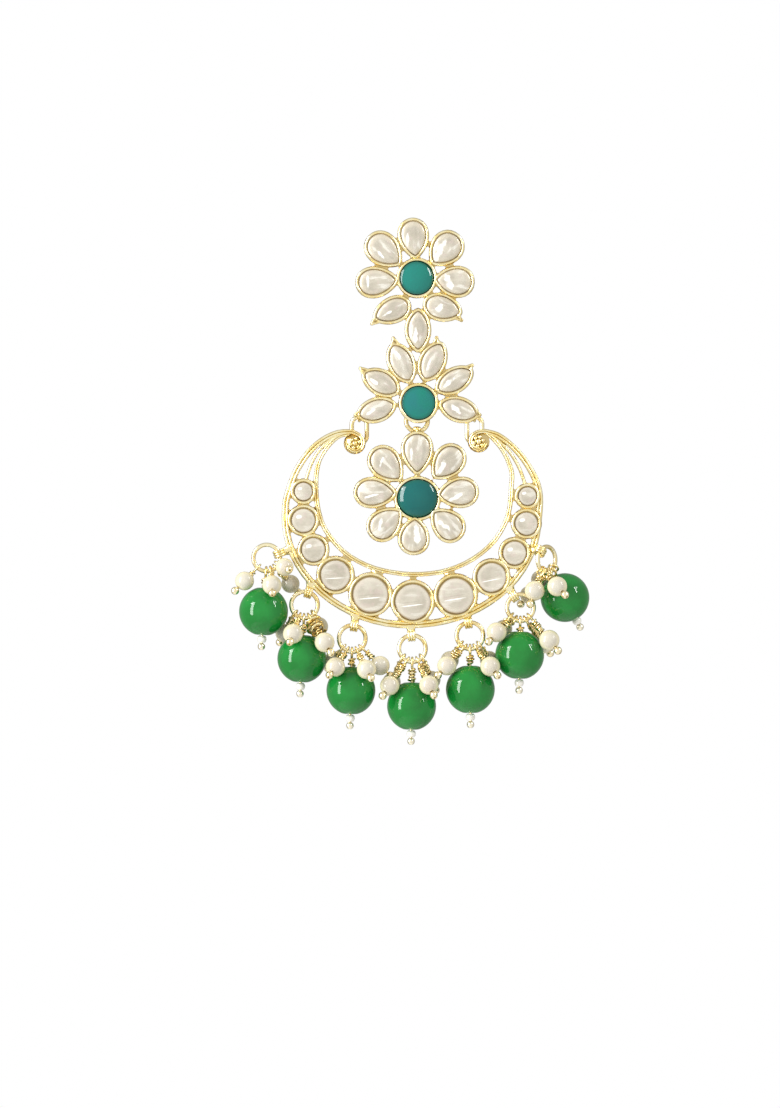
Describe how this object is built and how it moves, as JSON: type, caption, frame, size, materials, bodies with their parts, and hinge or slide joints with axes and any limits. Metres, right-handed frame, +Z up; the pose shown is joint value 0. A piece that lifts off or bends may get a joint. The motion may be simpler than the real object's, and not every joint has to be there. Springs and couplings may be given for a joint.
{
  "type": "kundan crescent earring",
  "caption": "Crescent drop earring with a flower stud, a hanging flower pendant and green bead and pearl drops.",
  "frame": {"origin": "on the ear post's axis, at the back face of the stud's upper flower, which rests on the front of the ear lobe", "axes": "+Z up, front faces -Y, +Y along the ear post through the ear, +X to the right as seen from the front"},
  "size_m": [0.0664, 0.0191, 0.0978],
  "materials": {
    "gold": "pale gold plate, polished",
    "foiled_stone": "polished, backed with silver foil",
    "teal_glass": "polished, opaque",
    "green_glass": "polished, nearly opaque",
    "pearl": "pearl lustre"
  },
  "bodies": {
    "stud": {"stud_frame": "gold", "ear_post": "gold", "teal_stone_top": "teal_glass", "teal_stone_middle": "teal_glass", "top_stone_1": "foiled_stone", "top_stone_2": "foiled_stone", "top_stone_3": "foiled_stone", "top_stone_4": "foiled_stone", "top_stone_5": "foiled_stone", "top_stone_6": "foiled_stone", "top_stone_7": "foiled_stone", "top_stone_8": "foiled_stone", "middle_stone_1": "foiled_stone", "middle_stone_2": "foiled_stone", "middle_stone_3": "foiled_stone", "middle_stone_4": "foiled_stone", "middle_stone_5": "foiled_stone", "middle_stone_6": "foiled_stone", "pendant_link": "gold"},
    "pendant": {"pendant_frame": "gold", "teal_stone_pendant": "teal_glass", "pendant_stone_1": "foiled_stone", "pendant_stone_2": "foiled_stone", "pendant_stone_3": "foiled_stone", "pendant_stone_4": "foiled_stone", "pendant_stone_5": "foiled_stone", "pendant_stone_6": "foiled_stone", "pendant_stone_7": "foiled_stone", "pendant_stone_8": "foiled_stone"},
    "crescent": {"crescent_frame": "gold", "crescent_stone_1": "foiled_stone", "crescent_stone_2": "foiled_stone", "crescent_stone_3": "foiled_stone", "crescent_stone_4": "foiled_stone", "crescent_stone_5": "foiled_stone", "crescent_stone_6": "foiled_stone", "crescent_stone_7": "foiled_stone", "crescent_stone_8": "foiled_stone", "crescent_stone_9": "foiled_stone", "crescent_stone_10": "foiled_stone", "crescent_stone_11": "foiled_stone", "side_link_left": "gold", "side_link_right": "gold", "drop_ring_1": "gold", "drop_ring_2": "gold", "drop_ring_3": "gold", "drop_ring_4": "gold", "drop_ring_5": "gold", "drop_ring_6": "gold", "drop_ring_7": "gold", "green_bead_1": "green_glass", "green_bead_2": "green_glass", "green_bead_3": "green_glass", "green_bead_4": "green_glass", "green_bead_5": "green_glass", "green_bead_6": "green_glass", "green_bead_7": "green_glass", "bead_pins": "gold", "pearls": "pearl", "pearl_pins": "gold"}
  },
  "joints": [
    {"name": "crescent_swing", "type": "hinge", "parent": "stud", "child": "crescent", "pos_m": [0, 0.00075, -0.02575], "axis": [1, 0, 0], "range_deg": [-15, 45]},
    {"name": "pendant_swing", "type": "hinge", "parent": "stud", "child": "pendant", "pos_m": [0, 0.00075, -0.0285], "axis": [1, 0, 0], "range_deg": [-20, 40]}
  ]
}
